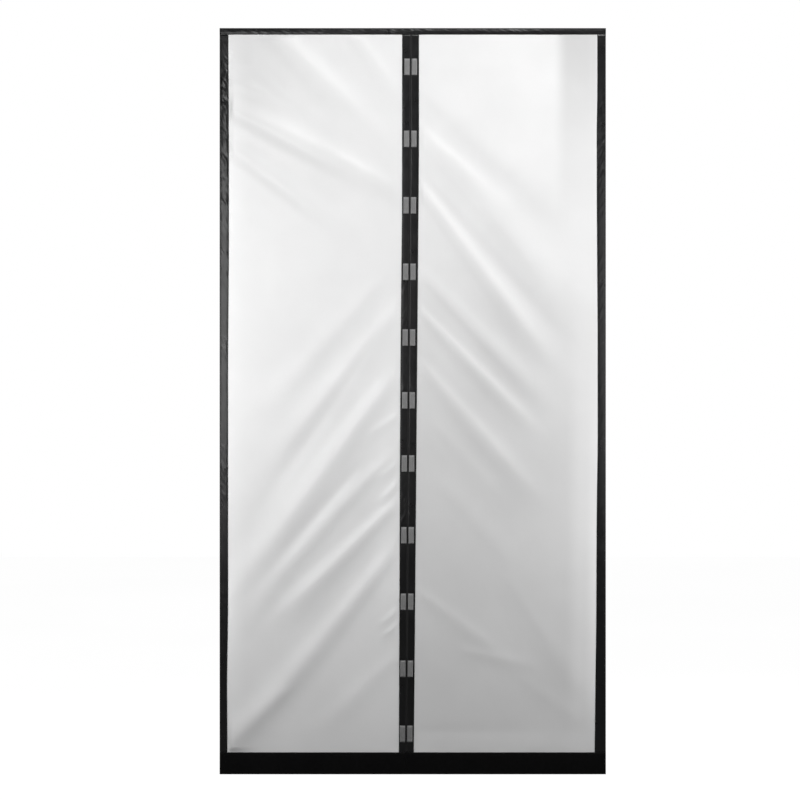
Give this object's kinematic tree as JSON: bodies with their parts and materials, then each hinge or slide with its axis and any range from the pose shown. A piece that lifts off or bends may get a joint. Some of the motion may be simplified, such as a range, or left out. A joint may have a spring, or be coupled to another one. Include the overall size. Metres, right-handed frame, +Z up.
{
  "type": "magnetic door curtain",
  "caption": "Door curtain of frosted film bound in black tape; its leaves hang across a doorway and close down the seam with magnets in sewn pockets.",
  "frame": {"origin": "middle of the header hook strip's back face, which sticks to the head of the door frame", "axes": "+X to the right as seen from the front, +Y back into the door frame, +Z up; the curtain hangs in front of y = 0 and faces -Y"},
  "size_m": [1.092, 0.0122, 2.11],
  "materials": {
    "film": "frosted film with a soft satin sheen",
    "tape": "black woven polyester binding tape",
    "hem": "matt black woven band",
    "pocket": "grey woven tape",
    "magnet": "dark ferrite",
    "loop": "black loop pile",
    "hook": "black nylon hooks on a self-adhesive strip"
  },
  "bodies": {
    "root": {"left_film_leaf": "film", "right_film_leaf": "film", "header_tape": "tape", "left_edge_tape": "tape", "left_seam_tape": "tape", "right_edge_tape": "tape", "right_seam_tape": "tape", "left_hem_band": "hem", "right_hem_band": "hem", "header_loop_strip": "loop", "left_loop_strip": "loop", "right_loop_strip": "loop", "header_hook_strip": "hook", "left_hook_strip": "hook", "right_hook_strip": "hook", "left_magnet_01": "magnet", "left_magnet_02": "magnet", "left_magnet_03": "magnet", "left_magnet_04": "magnet", "left_magnet_05": "magnet", "left_magnet_06": "magnet", "left_magnet_07": "magnet", "left_magnet_08": "magnet", "left_magnet_09": "magnet", "left_magnet_10": "magnet", "left_magnet_11": "magnet", "right_magnet_01": "magnet", "right_magnet_02": "magnet", "right_magnet_03": "magnet", "right_magnet_04": "magnet", "right_magnet_05": "magnet", "right_magnet_06": "magnet", "right_magnet_07": "magnet", "right_magnet_08": "magnet", "right_magnet_09": "magnet", "right_magnet_10": "magnet", "right_magnet_11": "magnet", "left_magnet_pocket_01": "pocket", "left_magnet_pocket_02": "pocket", "left_magnet_pocket_03": "pocket", "left_magnet_pocket_04": "pocket", "left_magnet_pocket_05": "pocket", "left_magnet_pocket_06": "pocket", "left_magnet_pocket_07": "pocket", "left_magnet_pocket_08": "pocket", "left_magnet_pocket_09": "pocket", "left_magnet_pocket_10": "pocket", "left_magnet_pocket_11": "pocket", "right_magnet_pocket_01": "pocket", "right_magnet_pocket_02": "pocket", "right_magnet_pocket_03": "pocket", "right_magnet_pocket_04": "pocket", "right_magnet_pocket_05": "pocket", "right_magnet_pocket_06": "pocket", "right_magnet_pocket_07": "pocket", "right_magnet_pocket_08": "pocket", "right_magnet_pocket_09": "pocket", "right_magnet_pocket_10": "pocket", "right_magnet_pocket_11": "pocket"}
  },
  "joints": []
}
